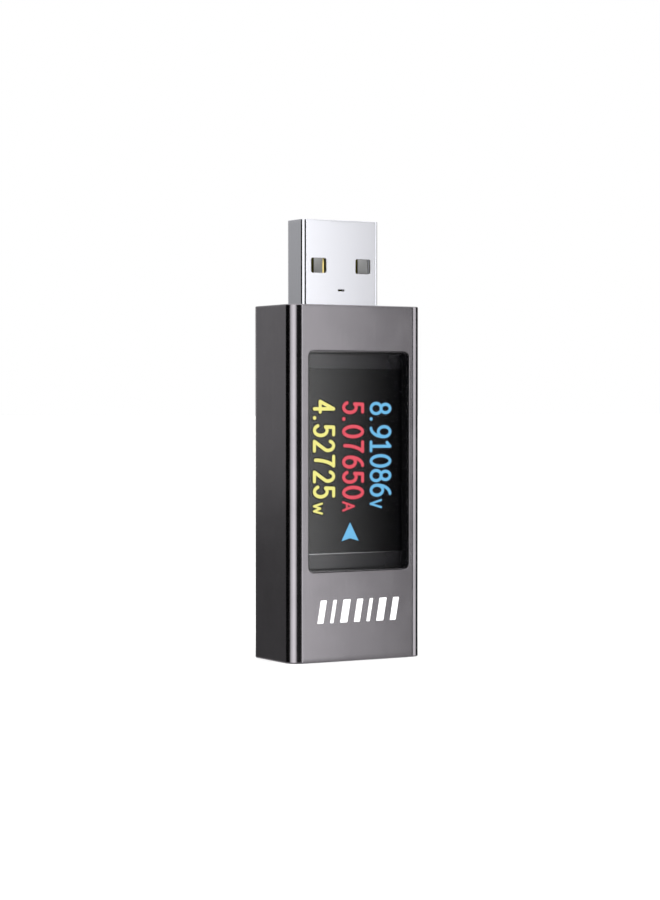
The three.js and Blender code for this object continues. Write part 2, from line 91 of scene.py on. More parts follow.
class Wire:  # a socket that takes part in sums, each of which adds a Math node
    def __init__(self, board, socket):
        self.board = board
        self.socket = socket

    def math(self, operation, first, second):
        return self.board.node("Math", {"operation": operation}, {0: first, 1: second})

    def __add__(self, other):
        return self.math("ADD", self, other)

    def __radd__(self, other):
        return self.math("ADD", other, self)

    def __sub__(self, other):
        return self.math("SUBTRACT", self, other)

    def __rsub__(self, other):
        return self.math("SUBTRACT", other, self)

    def __mul__(self, other):
        return self.math("MULTIPLY", self, other)

    def __rmul__(self, other):
        return self.math("MULTIPLY", other, self)

    def __truediv__(self, other):
        return self.math("DIVIDE", self, other)

    def __pow__(self, other):
        return self.math("POWER", self, other)

    def __gt__(self, other):
        return self.math("GREATER_THAN", self, other)

    def __lt__(self, other):
        return self.math("LESS_THAN", self, other)


class NodeBoard:  # a node tree with one way to add a node
    def __init__(self, tree):
        self.tree = tree
        tree.nodes.clear()

    def node(self, kind, settings=None, values=None, output=0):
        made = self.tree.nodes.new("ShaderNode" + kind)
        for name, value in (settings or {}).items():
            if name == "stops":
                self.setStops(made.color_ramp, value)
            else:
                setattr(made, name, value)
        for name, value in (values or {}).items():
            if isinstance(value, Wire):
                self.tree.links.new(value.socket, made.inputs[name])
            else:
                made.inputs[name].default_value = value
        return Wire(self, made.outputs[output]) if made.outputs else made

    def setStops(self, ramp, stops):
        ramp.elements[1].position = 1
        for i, (place, colour) in enumerate(stops):
            stop = ramp.elements[0] if i == 0 else ramp.elements.new(place)
            stop.position = place
            stop.color = (*colour, 1) if hasattr(colour, "__len__") else (colour, colour, colour, 1)
        ramp.elements.remove(ramp.elements[-1])

    def mix(self, share, first, second):  # between two colours
        return self.node("Mix", {"data_type": "RGBA"}, {0: share, 6: first, 7: second}, 2)

    def place(self):  # Object coordinates in millimetres
        spot = self.node("TexCoord", output=3)
        return self.node("VectorMath", {"operation": "SCALE"}, {0: spot, "Scale": 1 / mm})

    def stretched(self, scale):  # the same, scaled along each axis
        return self.node("VectorMath", {"operation": "MULTIPLY"}, {0: self.place(), 1: scale})

    def axis(self, index):
        return self.node("SeparateXYZ", values={0: self.place()}, output=index)

    def noise(self, scale, detail=2.0, where=None):
        spot = where or self.place()
        return self.node("TexNoise", values={"Vector": spot, "Scale": scale, "Detail": detail})

    def bump(self, height, depth, strength=1.0):  # depth in mm
        values = {"Height": height, "Distance": depth * mm, "Strength": strength}
        return self.node("Bump", values=values)


def rgb(red, green, blue):
    return (red, green, blue, 1)


def newFinish(name, paint, **constants):
    # paint(board) gives the sockets that vary, by name; constants sit on the shader's own sockets
    material = bpy.data.materials.new(name)
    material.use_nodes = True
    board = NodeBoard(material.node_tree)
    values = {key.replace("_", " "): value for key, value in constants.items()}
    shader = board.node("BsdfPrincipled", values={**values, **paint(board)})
    board.node("OutputMaterial", values={"Surface": shader})
    return material


# angles in degrees round the meter, from straight in front towards its left side, with the
# brightness that a shiny face sees there
studioSettings = {
    "walls": [
        (-180, 0.5), (-150, 0.4), (-118, 0.35), (-108, 0.0), (-82, 0.0), (-76, 1.7), (-45, 1.7),
        (-41, 0.0), (-17, 0.015), (27, 0.015), (35, 1.4), (52, 2.5), (84, 1.3), (93, 0.0),
        (141, 0.0), (146, 0.34), (168, 0.34), (180, 0.5),
    ],
    # strip that the front face mirrors: its brightness, where it rises and the curve of the
    # rise, and where it falls off again
    "strip": {"level": 1.96, "rise": (-32.0, -29.8), "curve": 1.7, "fall": (-17, -23)},
    "sideWall": 143,  # where the wall at the side starts, which is darker low down
    # brightness above or below the horizon, and between which heights it comes in
    "sideLow": (0.11, -0.034, -0.042),
    "sideHigh": (0.43, 0.048, 0.056),
    "ceiling": (1.3, 0.3, 0.7),
    "floorGlow": (0.55, -0.17, -0.3),
    "backdrop": 1.0,
    "sun": (2.2, 50),  # strength, and how wide it looks in degrees
}


def setWorld():
    # brightness by direction: a ramp round the horizon plus one strip, rise ** curve * fall, then
    # a ceiling and the glow of the floor; the camera itself sees an even pale backdrop
    world = bpy.data.worlds.new("studio")
    bpy.context.scene.world = world
    world.use_nodes = True
    board = NodeBoard(world.node_tree)
    direction = board.node("TexCoord", output=0)
    x = board.node("SeparateXYZ", values={0: direction}, output=0)
    y = board.node("SeparateXYZ", values={0: direction}, output=1)
    z = board.node("SeparateXYZ", values={0: direction}, output=2)
    angle = board.node("Math", {"operation": "ARCTAN2"}, {0: x * -1, 1: y * -1})
    stops = [((turn + 180) / 360, level / 2) for turn, level in studioSettings["walls"]]
    walls = board.node("ValToRGB", {"stops": stops}, {0: angle / (2 * math.pi) + 0.5})
    level = board.node("RGBToBW", values={0: walls}) * 2
    ramp = lambda value, first, last: board.node(
        "MapRange", values={"Value": value, "From Min": first, "From Max": last})
    strip = studioSettings["strip"]
    rise = ramp(angle, *np.radians(strip["rise"]).tolist()) ** strip["curve"]
    level = level + rise * ramp(angle, *np.radians(strip["fall"]).tolist()) * strip["level"]
    side = angle > math.radians(studioSettings["sideWall"])
    for key, where in (("sideLow", side), ("sideHigh", side), ("ceiling", 1), ("floorGlow", 1)):
        brightness, first, last = studioSettings[key]
        level = level + ramp(z, first, last) * where * (brightness - level)
    seen = board.node("LightPath", output=0)
    shown = seen * studioSettings["backdrop"] + (1 - seen) * level
    light = board.node("Background", values={"Color": rgb(1, 1, 1), "Strength": shown})
    board.node("OutputWorld", values={"Surface": light})


floorSettings = {"size": 12.0, "paint": 0.92}  # metres


def makeFloor():
    half = floorSettings["size"] / 2
    mesh = bpy.data.meshes.new("floor")
    corners = [(-half, -half, 0), (half, -half, 0), (half, half, 0), (-half, half, 0)]
    mesh.from_pydata(corners, [], [(0, 1, 2, 3)])
    floor = bpy.data.objects.new("floor", mesh)
    bpy.context.scene.collection.objects.link(floor)
    paint = rgb(*[floorSettings["paint"]] * 3)
    mesh.materials.append(newFinish("floorPaint", lambda board: {}, Base_Color=paint, Roughness=0.9))
    floor.visible_glossy = False


def addSun():  # even light from above, which leaves a soft shadow on the floor
    data = bpy.data.lights.new("overhead", "SUN")
    data.energy, spread = studioSettings["sun"]
    data.angle = math.radians(spread)
    lamp = bpy.data.objects.new("overhead", data)
    bpy.context.scene.collection.objects.link(lamp)
    lamp.visible_glossy = False


def makeStudio():
    setWorld()
    makeFloor()
    addSun()
    bpy.context.scene.view_settings.view_transform = "Standard"


makeStudio()
print("studio set")


# how each finish looks; colours are linear
finishSettings = {
    "anodised": {"dark": (0.25, 0.237, 0.254), "light": (0.312, 0.296, 0.315), "roughness": 0.165},
    "lens": {"tint": (0.003, 0.003, 0.004), "cover": 0.2},
    "nickel": {"dark": (0.8, 0.805, 0.86), "light": (0.85, 0.855, 0.9), "roughness": 0.19},
    "gold": {"dark": (0.8, 0.62, 0.2), "light": (0.98, 0.82, 0.36)},
}


def anodisedPaint(board):
    # blasted grain a tenth of a millimetre across under a satin dye, with slow patches in the dye
    look = finishSettings["anodised"]
    grain = board.noise(7.0, 3.0)
    patches = board.noise(0.22, 2.0)
    drawn = board.noise(1.0, 2.0, board.stretched((9, 9, 0.15)))
    shade = grain * 0.5 + patches * 0.35 + drawn * 0.15
    spread = board.node("MapRange", values={"Value": shade, "From Min": 0.35, "From Max": 0.65})
    height = grain + board.noise(16.0, 1.0) * 0.5
    return {
        "Base Color": board.mix(spread, rgb(*look["dark"]), rgb(*look["light"])),
        "Roughness": look["roughness"] + (grain - 0.5) * 0.12 + (patches - 0.5) * 0.05,
        "Normal": board.bump(height, 0.006, 0.25),
    }


def lensPaint(board):
    # smoke-tinted sheet that lets part of the display through, with faint haze
    haze = board.noise(0.6, 3.0)
    look = finishSettings["lens"]
    return {
        "Base Color": board.mix(haze, rgb(*look["tint"]), rgb(0.004, 0.004, 0.005)),
        "Roughness": 0.015 + haze * 0.03,
        "Alpha": look["cover"] + (haze - 0.5) * 0.04,
    }


def nickelPaint(board):
    # rolled sheet: fine lines along the roll, and faint handling marks under the plating
    look = finishSettings["nickel"]
    lines = board.noise(1.0, 3.0, board.stretched((26, 26, 0.5)))
    marks = board.noise(1.4, 4.0)
    return {
        "Base Color": board.mix(marks, rgb(*look["dark"]), rgb(*look["light"])),
        "Roughness": look["roughness"] + (lines - 0.5) * 0.08 + (marks - 0.5) * 0.04,
        "Normal": board.bump(lines, 0.002, 0.1),
    }


def goldPaint(board):
    look = finishSettings["gold"]
    marks = board.noise(3.0, 3.0)
    lines = board.noise(1.0, 2.0, board.stretched((30, 30, 0.8)))
    return {
        "Base Color": board.mix(marks, rgb(*look["dark"]), rgb(*look["light"])),
        "Roughness": 0.12 + lines * 0.14,
        "Normal": board.bump(lines, 0.002, 0.3),
    }


def goldShadePaint(board):
    # darker, duller copy of the gold on the strip's faces away from the light: painted shade
    marks = board.noise(3.0, 3.0)
    return {
        "Base Color": board.mix(marks, rgb(0.07, 0.062, 0.008), rgb(0.12, 0.1, 0.02)),
        "Roughness": 0.4 + marks * 0.2,
    }


def plasticPaint(dark, light, grainScale, roughness, depth):
    # moulded plastic: a fine eroded texture over a slow change of tone
    def paint(board):
        grain = board.noise(grainScale, 3.0)
        tone = board.noise(0.5, 2.0)
        return {
            "Base Color": board.mix(grain * 0.4 + tone * 0.6, rgb(*dark), rgb(*light)),
            "Roughness": roughness + (grain - 0.5) * 0.2,
            "Normal": board.bump(grain, depth, 0.5),
        }
    return paint


def boardPaint(board):
    # solder mask over copper lines, with the lines and pads showing paler and slightly raised
    across = board.axis(0) * 1.6
    up = board.axis(2) * 1.6
    lane = board.node("Math", {"operation": "PINGPONG"}, {0: across + board.noise(0.3, 1.0) * 3, 1: 0.5})
    rung = board.node("Math", {"operation": "PINGPONG"}, {0: up, 1: 0.5})
    lines = ((lane < 0.12) + (rung < 0.06)) * (board.noise(0.4, 1.0) > 0.45)
    cell = board.node("TexVoronoi", values={"Vector": board.place(), "Scale": 0.9})
    pads = cell < 0.16
    ground = board.mix(lines, rgb(0.006, 0.05, 0.028), rgb(0.012, 0.11, 0.06))
    return {
        "Base Color": board.mix(pads, ground, rgb(0.72, 0.55, 0.25)),
        "Roughness": 0.28 + board.noise(8.0, 2.0) * 0.15,
        "Metallic": pads * 0.9,
        "Normal": board.bump(lines + pads, 0.03, 0.5),
    }


def ribbonPaint(board):
    # amber film with copper lanes along it
    across = board.axis(0) * 2.0
    lane = board.node("Math", {"operation": "PINGPONG"}, {0: across, 1: 0.5})
    copper = lane < 0.22
    return {
        "Base Color": board.mix(copper, rgb(0.34, 0.13, 0.02), rgb(0.55, 0.26, 0.09)),
        "Roughness": 0.3 + board.noise(3.0, 2.0) * 0.2,
        "Normal": board.bump(copper, 0.02, 0.4),
    }


def capacitorPaint(board):
    # fired body with an uneven tone; the tinned ends, which lie along Z, are not painted apart
    tone = board.noise(6.0, 3.0)
    return {
        "Base Color": board.mix(tone, rgb(0.36, 0.24, 0.12), rgb(0.5, 0.36, 0.2)),
        "Roughness": 0.45 + tone * 0.25,
        "Normal": board.bump(tone, 0.01, 0.4),
    }


def panelPaintedReflection(board):
    # grey border of the lit panel, with a painted reflection that makes it paler towards its left, and a
    # slow cloudiness
    low, high = nodeBox("display_glass")
    across = (board.axis(0) - float(low[0])) / float(high[0] - low[0])
    # the paler left is a painted reflection; the noise is a slow cloudiness
    haze = (1 - across) * 0.7 + board.noise(0.4, 2.0) * 0.3
    return {
        "Base Color": board.mix(haze, rgb(0.008, 0.008, 0.009), rgb(0.085, 0.083, 0.09)),
        "Roughness": 0.02 + board.noise(5.0, 2.0) * 0.03,
    }


def filmPaint(board):
    # near-black glossy film with a faint slow haze
    haze = board.noise(0.8, 3.0)
    return {
        "Base Color": board.mix(haze, rgb(0.0008, 0.0008, 0.001), rgb(0.002, 0.002, 0.0022)),
        "Roughness": 0.02 + haze * 0.04,
    }


def filmEdgeHighlightPaint(board):
    # cut edge of the film, with a painted highlight: bright on its left and fading to dark towards the
    # right
    low, high = nodeBox("display_glass")
    across = (board.axis(0) - float(low[0])) / float(high[0] - low[0])
    # painted highlight: near white at the left, near black at the right
    paintedHighlight = board.node("MapRange", values={"Value": across, "From Min": 0.85, "From Max": 0.05})
    return {
        "Base Color": board.mix(paintedHighlight, rgb(0.02, 0.02, 0.022), rgb(0.9, 0.9, 0.92)),
        "Roughness": 0.3 + board.noise(6.0, 2.0) * 0.15,
    }


def glowPaint(colour, level):
    # lit figures, a touch uneven from cell to cell
    dimmer = rgb(*[part * 0.7 for part in colour])

    def paint(board):
        cells = board.node("TexVoronoi", values={"Vector": board.place(), "Scale": 9.0})
        return {
            "Base Color": board.mix(cells, rgb(0.02, 0.02, 0.02), rgb(0.04, 0.04, 0.04)),
            "Emission Color": board.mix(cells * 0.35, rgb(*colour), dimmer),
        }
    return {"paint": paint, "Emission_Strength": level, "Roughness": 0.5, "Specular_IOR_Level": 0.0}


def inkPaintedGlow(board):
    # white screen print with a slight toothed surface, and a faint glow of its own, which is painted
    # light
    tooth = board.noise(12.0, 2.0)
    return {
        "Base Color": board.mix(tooth, rgb(0.86, 0.86, 0.87), rgb(0.97, 0.97, 0.98)),
        "Roughness": 0.45 + tooth * 0.2,
        "Emission Color": board.mix(tooth, rgb(0.9, 0.9, 0.92), rgb(1, 1, 1)),
    }


plasticSettings = {  # name, dark and light tone, scale of the grain, roughness, depth in mm
    "tape": ("blackTape", (0.008, 0.008, 0.008), (0.016, 0.016, 0.016), 12.0, 0.75, 0.01),
    "white": ("whiteMoulding", (0.68, 0.68, 0.66), (0.8, 0.8, 0.78), 9.0, 0.45, 0.006),
    "charcoal": ("charcoalMoulding", (0.022, 0.022, 0.024), (0.05, 0.05, 0.054), 8.0, 0.62, 0.02),
    "pale": ("paleMoulding", (0.46, 0.46, 0.48), (0.58, 0.58, 0.6), 9.0, 0.5, 0.008),
    "epoxy": ("chipEpoxy", (0.01, 0.01, 0.011), (0.026, 0.026, 0.028), 14.0, 0.55, 0.01),
}
finishes = {
    "anodised": newFinish("gunmetalAnodised", anodisedPaint, Metallic=1.0),
    "lens": newFinish("smokedLens", lensPaint, Specular_IOR_Level=0.5),
    "nickel": newFinish("brightNickel", nickelPaint, Metallic=1.0),
    "gold": newFinish("goldFlash", goldPaint, Metallic=0.75),
    # the dark dull gold on the contacts is painted shade
    "goldShade": newFinish("goldPaintedShade", goldShadePaint, Metallic=0.6),
    "mask": newFinish("solderMask", boardPaint),
    "ribbon": newFinish("amberRibbon", ribbonPaint),
    "ceramic": newFinish("firedCeramic", capacitorPaint),
    # the panel border carries a painted reflection, paler at its left
    "panel": newFinish("litPanel", panelPaintedReflection, Specular_IOR_Level=1.0),
    "film": newFinish("polariserFilm", filmPaint, Specular_IOR_Level=1.0),
    # the film's cut edge carries a painted highlight, bright at its left
    "filmEdge": newFinish("filmEdgePaintedHighlight", filmEdgeHighlightPaint),
    # the white print's glow is painted light
    "ink": newFinish("whitePrintPaintedGlow", inkPaintedGlow, Emission_Strength=0.25),
    "yellow": newFinish("yellowGlow", **glowPaint((0.94, 0.89, 0.26), 1.55)),
    "coral": newFinish("coralGlow", **glowPaint((0.84, 0.09, 0.13), 1.5)),
    "blue": newFinish("blueGlow", **glowPaint((0.17, 0.54, 0.88), 1.5)),
    "dimYellow": newFinish("yellowEdge", **glowPaint((0.02, 0.018, 0.0), 0.3)),
    "dimCoral": newFinish("coralEdge", **glowPaint((0.03, 0.0, 0.004), 0.3)),
    "dimBlue": newFinish("blueEdge", **glowPaint((0.0, 0.01, 0.04), 0.4)),
}
for key, (name, *look) in plasticSettings.items():
    finishes[key] = newFinish(name, plasticPaint(*look))
print("finishes made")


def gridFaces(shape, ringRows, ringColumns):
    # four corners of each cell of a grid, wrapped round where the grid is a ring
    rows, columns = shape
    numbers = np.arange(rows * columns).reshape(rows, columns)
    if ringRows:
        numbers = np.vstack([numbers, numbers[:1]])
    if ringColumns:
        numbers = np.hstack([numbers, numbers[:, :1]])
    corners = [numbers[:-1, :-1], numbers[:-1, 1:], numbers[1:, 1:], numbers[1:, :-1]]
    return np.stack([c.ravel() for c in corners], 1)


def makePiece(name, grids, finish, body, node=None, sharp=32):
    # joins grids of points, welds their shared edges, turns every face outwards and gives the
    # piece its finish and its body; a grid is (points, ring rows, ring columns, finish number)
    points, faces, paints = [], [], []
    count = 0
    for grid, ringRows, ringColumns, paint in grids:
        faces.append(gridFaces(grid.shape[:2], ringRows, ringColumns) + count)
        points.append(grid.reshape(-1, 3))
        paints.append(np.full(len(faces[-1]), paint))
        count += len(points[-1])
    points, faces, paints = np.concatenate(points), np.concatenate(faces), np.concatenate(paints)
    mesh = bpy.data.meshes.new(name)
    mesh.vertices.add(count)
    mesh.vertices.foreach_set("co", points.ravel())
    mesh.loops.add(faces.size)
    mesh.loops.foreach_set("vertex_index", faces.ravel())
    mesh.polygons.add(len(faces))
    mesh.polygons.foreach_set("loop_start", np.arange(0, faces.size, 4))
    mesh.polygons.foreach_set("material_index", paints)
    mesh.update(calc_edges=True)
    work = bmesh.new()
    work.from_mesh(mesh)
    bmesh.ops.remove_doubles(work, verts=work.verts, dist=0.0004)
    flat = [face for face in work.faces if face.calc_area() < 1e-9]
    bmesh.ops.delete(work, geom=flat, context="FACES_ONLY")
    bmesh.ops.holes_fill(work, edges=[edge for edge in work.edges if edge.is_boundary], sides=12)
    bmesh.ops.recalc_face_normals(work, faces=work.faces)
    openEdges = sum(1 for edge in work.edges if not edge.is_manifold)
    work.to_mesh(mesh)
    work.free()
    co = np.zeros(len(mesh.vertices) * 3)
    mesh.vertices.foreach_get("co", co)
    mesh.vertices.foreach_set("co", co * mm)
    mesh.polygons.foreach_set("use_smooth", np.ones(len(mesh.polygons), bool))
    mesh.set_sharp_from_angle(angle=math.radians(sharp))
    mesh.update()
    for key in [finish] if isinstance(finish, str) else finish:
        mesh.materials.append(finishes[key])
    piece = bpy.data.objects.new(name, mesh)
    bpy.context.scene.collection.objects.link(piece)
    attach(piece, body)
    if node:
        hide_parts(node)
    print(name, len(mesh.polygons), "faces", openEdges, "open edges")
    return piece


def roundLoop(centre, width, height, radius, across, up, bend=5):
    # rectangle with round corners, from the middle of its low left corner: each side is half
    # an arc, a straight stretch and half an arc, with `across` or `up` points
    reach = np.array([width / 2 - radius, height / 2 - radius])
    corners = np.array([(-1, -1), (1, -1), (1, 1), (-1, 1)]) * reach + centre
    sides = []
    for side, count in enumerate((across, up, across, up)):
        first, last = corners[side], corners[(side + 1) % 4]
        turn = np.radians(np.linspace(225, 270, bend + 1) + 90 * side)
        leave = first + radius * np.stack([np.cos(turn), np.sin(turn)], 1)
        turn = turn + math.radians(45)
        arrive = last + radius * np.stack([np.cos(turn), np.sin(turn)], 1)
        share = np.linspace(0, 1, count - 2 * bend)[1:-1, None]
        straight = leave[-1] + (arrive[0] - leave[-1]) * share
        sides.append(np.concatenate([leave, straight, arrive])[:-1])
    return np.concatenate(sides)


def squareLoop(us, zs):  # the same walk round a rectangle with given stations
    lowSide = np.stack([us, np.full(len(us), zs[0])], 1)
    rightSide = np.stack([np.full(len(zs), us[-1]), zs], 1)
    topSide = np.stack([us[::-1], np.full(len(us), zs[-1])], 1)
    leftSide = np.stack([np.full(len(zs), us[0]), zs[::-1]], 1)
    return np.concatenate([side[:-1] for side in (lowSide, rightSide, topSide, leftSide)])


def spreadLike(values, low, high):  # the same spacing between two other ends
    return low + (values - values[0]) / (values[-1] - values[0]) * (high - low)


def flatRow(loop, depth):
    return np.stack([loop[:, 0], np.full(len(loop), depth), loop[:, 1]], 1)


def holeRows(outside, inside, holeLoop, profile, wall):
    # a wall with a hole: from the outer rectangle to the hole's edge, through the hole along
    # (inset, depth) pairs, and back out to the inner rectangle
    first, last = holeLoop(profile[0][0]), holeLoop(profile[-1][0])
    rows = [flatRow(outside + (first - outside) * share, 0) for share in (0, 0.05, 0.5, 0.95)]
    rows += [flatRow(holeLoop(inset), depth) for inset, depth in profile]
    rows += [flatRow(last + (inside - last) * share, wall) for share in (0.05, 0.5, 0.95, 1)]
    return np.array(rows)


def roundEdge(size, steps=4):
    # quarter circle between a face and the wall that leaves it: (inset, depth) pairs, after one
    # just outside it that keeps the face flat
    turn = np.linspace(0, math.pi / 2, steps + 1)
    pairs = np.stack([size * (np.sin(turn) - 1), size * (1 - np.cos(turn))], 1)
    return [(-size * 1.2, 0.0)] + [tuple(pair) for pair in pairs]


def onWall(side, points, half, centre):
    # (along, depth, z) on the front, right, back or left wall of a tube, as x, y, z
    along, depth, z = points[..., 0], points[..., 1], points[..., 2]
    x = (along, half[0] - depth, -along, depth - half[0])[side]
    y = (depth - half[1], along, half[1] - depth, -along)[side]
    return np.stack([x + centre[0], y + centre[1], z], -1)


def plainCell(us, outerZ, innerZ, wall):  # both faces of a wall: along it, and up it
    outer = np.stack(np.broadcast_arrays(us[None, :], 0.0, outerZ[:, None]), -1)
    inner = np.stack(np.broadcast_arrays(us[None, :], wall, innerZ[:, None]), -1)
    return [(outer, False), (inner, False)]


def seamCell(cell, outerZ, innerZ, wall):
    # from the cell's far side to its free edge on the outside, and back on the inside
    edge, shift = cell["edge"]
    share = np.array([0, 0.5, 1, 1, 0.5, 0])
    depth = np.array([0, 0, 0, wall, wall, wall])
    base = np.where(depth[None, :] > 0, innerZ[:, None], outerZ[:, None])
    along = cell["far"] + (edge[:, None] - cell["far"]) * share[None, :]
    z = base + shift[:, None] * share[None, :]
    return [(np.stack(np.broadcast_arrays(along, depth[None, :], z), -1), False)]


def boxTube(shape, cells, paint=0):
    # tube of rectangular section with round corners, as grids: the walls' cells from the front
    # wall round to the left one, a corner after each wall, and a rounded rim at each end
    half, radius, wall = shape["half"], shape["radius"], shape["wall"]
    outerEdge, innerEdge = shape["edges"]
    centre, (low, high) = shape["centre"], shape["ends"]
    stations = shape["stations"]
    outerZ = low + outerEdge + stations * (high - low - 2 * outerEdge)
    innerZ = low + innerEdge + stations * (high - low - 2 * innerEdge)
    grids, rim = [], []
    for side in range(4):
        outward = np.array([(0, -1), (1, 0), (0, 1), (-1, 0)][side])
        for cell in cells[side]:
            start, end = cell["span"]
            if "hole" in cell:
                hole = cell["hole"]
                loop = lambda inset, hole=hole: roundLoop(
                    hole["centre"], hole["size"][0] - 2 * inset, hole["size"][1] - 2 * inset,
                    hole["radius"] - inset, hole["across"], len(stations), hole["bend"])
                us = spreadLike(loop(0)[: hole["across"], 0], start, end)
                outside, inside = squareLoop(us, outerZ), squareLoop(us, innerZ)
                made = [(holeRows(outside, inside, loop, hole["profile"], wall), True)]
            elif "edge" in cell:
                made = seamCell(cell, outerZ, innerZ, wall)
                us = np.array([start, (start + end) / 2, end])
            else:
                us = np.array([start, start + 0.06, (start + end) / 2, end - 0.06, end])
                made = plainCell(us, outerZ, innerZ, wall)
            grids += [(onWall(side, rows, half, centre), False, ring, paint) for rows, ring in made]
            line = onWall(side, np.stack([us, us * 0, us * 0], 1), half, centre)[:, :2]
            rim.append((line, np.repeat(outward[None, :], len(us), 0), cell.get("breakAfter", False)))
        turn = np.radians(np.linspace(-90, 0, shape["bend"] + 1) + 90 * side)
        normal = np.stack([np.cos(turn), np.sin(turn)], 1)
        signs = np.array([(1, -1), (1, 1), (-1, 1), (-1, -1)][side])
        pivot = centre + signs * (np.array(half) - radius)
        for reach, zs in ((radius, outerZ), (radius - wall, innerZ)):
            arc = pivot + normal * reach
            corner = np.stack(np.broadcast_arrays(arc[None, :, 0], arc[None, :, 1], zs[:, None]), -1)
            grids.append((corner, False, False, paint))
        rim.append((pivot + normal * radius, normal, False))
    breaks = [i for i, (_, _, stop) in enumerate(rim) if stop]
    if breaks:
        rim = rim[breaks[0] + 1:] + rim[: breaks[0] + 1]
    line = np.concatenate([part[0] for part in rim])
    normal = np.concatenate([part[1] for part in rim])
    turn = np.linspace(0, math.pi / 2, 5)
    steps = [(outerEdge * (1 - math.cos(t)), outerEdge * (1 - math.sin(t))) for t in turn]
    steps += [(wall - innerEdge * (1 - math.sin(t)), innerEdge * (1 - math.cos(t))) for t in turn]
    for end, way in ((low, 1), (high, -1)):
        rows = [np.column_stack([line - normal * inset, np.full(len(line), end + way * lift)])
                for inset, lift in steps]
        grids.append((np.array(rows), False, not breaks, paint))
    return grids


caseSettings = {
    "wall": 1.0,
    "corner": 1.7,
    "edges": (0.16, 0.08),  # rounding of the cut ends, outside and inside
    "windowCorner": 0.9,
    "ledge": 0.45,
    "pocketDepth": 0.7,
    "lensGap": 0.1,  # all round the lens
    "holeEdge": 0.07,  # rounding of the window opening, and of the key slot
    "slotEdge": 0.08,
    "keyGap": 0.125,
    "keyFlange": 0.6,  # how far the key's flange reaches behind the wall
}


def caseTube():
    # drawn tube with the window opening in front, stepped where the lens rests, and the key slot
    look = caseSettings
    keyLow, keyHigh = nodeBox("function_key")
    flange = look["keyFlange"]
    gap = look["lensGap"]
    half = ((tubeHigh[0] - tubeLow[0]) / 2, (tubeHigh[1] - tubeLow[1]) / 2)
    reach = np.array(half) - look["corner"]
    ledge, pocket = look["ledge"], look["pocketDepth"]
    windowProfile = roundEdge(look["holeEdge"]) + [
        (0, pocket * 0.5), (0, pocket - 0.04), (0.04, pocket), (ledge - 0.03, pocket),
        (ledge, pocket + 0.03), (ledge, look["wall"]),
    ]
    window = {
        "centre": (lensMiddle[0] - tubeMiddle[0], lensMiddle[2]),
        "size": (lensHigh[0] - lensLow[0] + 2 * gap, lensHigh[2] - lensLow[2] + 2 * gap),
        "radius": look["windowCorner"], "across": 32, "bend": 6, "profile": windowProfile,
    }
    keyWidth = keyHigh[1] - keyLow[1] - 2 * flange + 2 * look["keyGap"]
    keyLength = keyHigh[2] - keyLow[2] - 2 * flange + 2 * look["keyGap"]
    keySlot = {
        "centre": (0.0, (keyLow[2] + keyHigh[2]) / 2),
        "size": (keyWidth, keyLength),
        "radius": keyWidth / 2 - 0.01, "across": 26, "bend": 12,
        "profile": roundEdge(look["slotEdge"]) + [(0, look["wall"] * 0.6), (0, look["wall"])],
    }
    stations = np.concatenate([[0, 0.002], np.linspace(0.03, 0.97, 40), [0.998, 1]])
    shape = {
        "half": half, "radius": look["corner"], "wall": look["wall"], "edges": look["edges"],
        "centre": tubeMiddle[:2], "ends": (tubeLow[2], tubeHigh[2]), "stations": stations, "bend": 20,
    }
    cells = [
        [{"span": (-reach[0], reach[0]), "hole": window}],
        [{"span": (-reach[1], reach[1]), "hole": keySlot}],
        [{"span": (-reach[0], reach[0])}],
        [{"span": (-reach[1], reach[1])}],
    ]
    makePiece("caseTube", boxTube(shape, cells), "anodised", "case", "case_tube")


caseTube()


def lidded(rows):  # closes a stack of loops with a point at each end
    first = np.repeat(rows[0].mean(0)[None, :], len(rows[0]), 0)
    last = np.repeat(rows[-1].mean(0)[None, :], len(rows[-1]), 0)
    return np.array([first, *rows, last])


lensSettings = {
    "corner": 0.8, "edge": 0.09, "across": 24, "up": 40,
    "border": (0.3, 0.75, 0.2),  # black print at the left, the right, and the top and bottom
    "print": 0.01,
    "margin": 0.02,  # between the print and the faces of the lens
}


def windowLens():
    # flat slab whose front and back edges are small quarter circles
    look = lensSettings
    centre = lensMiddle[[0, 2]]
    width, thick, height = lensHigh - lensLow
    loop = lambda inset: roundLoop(centre, width - 2 * inset, height - 2 * inset,
                                   look["corner"] - min(inset, 0.6), look["across"], look["up"])
    front = [(0.5, 0)] + [(-inset, depth) for inset, depth in roundEdge(look["edge"])]
    back = [(inset, thick - depth) for inset, depth in front[::-1]]
    rows = [flatRow(loop(inset), lensLow[1] + depth) for inset, depth in front + back]
    makePiece("windowLens", [(lidded(rows), False, True, 0)], "lens", "case", "window_lens")
    # black border printed just inside the back face: a flat frame, walked round its section
    left, right, ends = look["border"]
    spot = (centre[0] + (left - right) / 2, centre[1])
    margin, counts = look["margin"], (look["across"], look["up"])
    outer = roundLoop(centre, width - 2 * margin, height - 2 * margin, look["corner"], *counts)
    inner = roundLoop(spot, width - left - right, height - 2 * ends, look["corner"] / 2, *counts)
    back = lensHigh[1] - margin
    front = back - look["print"]
    rows = [flatRow(outer, front), flatRow(inner, front), flatRow(inner, back), flatRow(outer, back)]
    makePiece("lensBorder", [(np.array(rows), True, True, 0)], "film", "case", None)


windowLens()
print("case and window made")


displaySettings = {
    "area": (14.9, 24.9),  # lit area, seen inside the window
    "areaMiddle": (0.08, 0.05),  # from the window's middle, across and up
    "filmThickness": 0.12,
    "filmEdge": 0.1,  # height of the painted light line under the film
    "edge": 0.05,
}


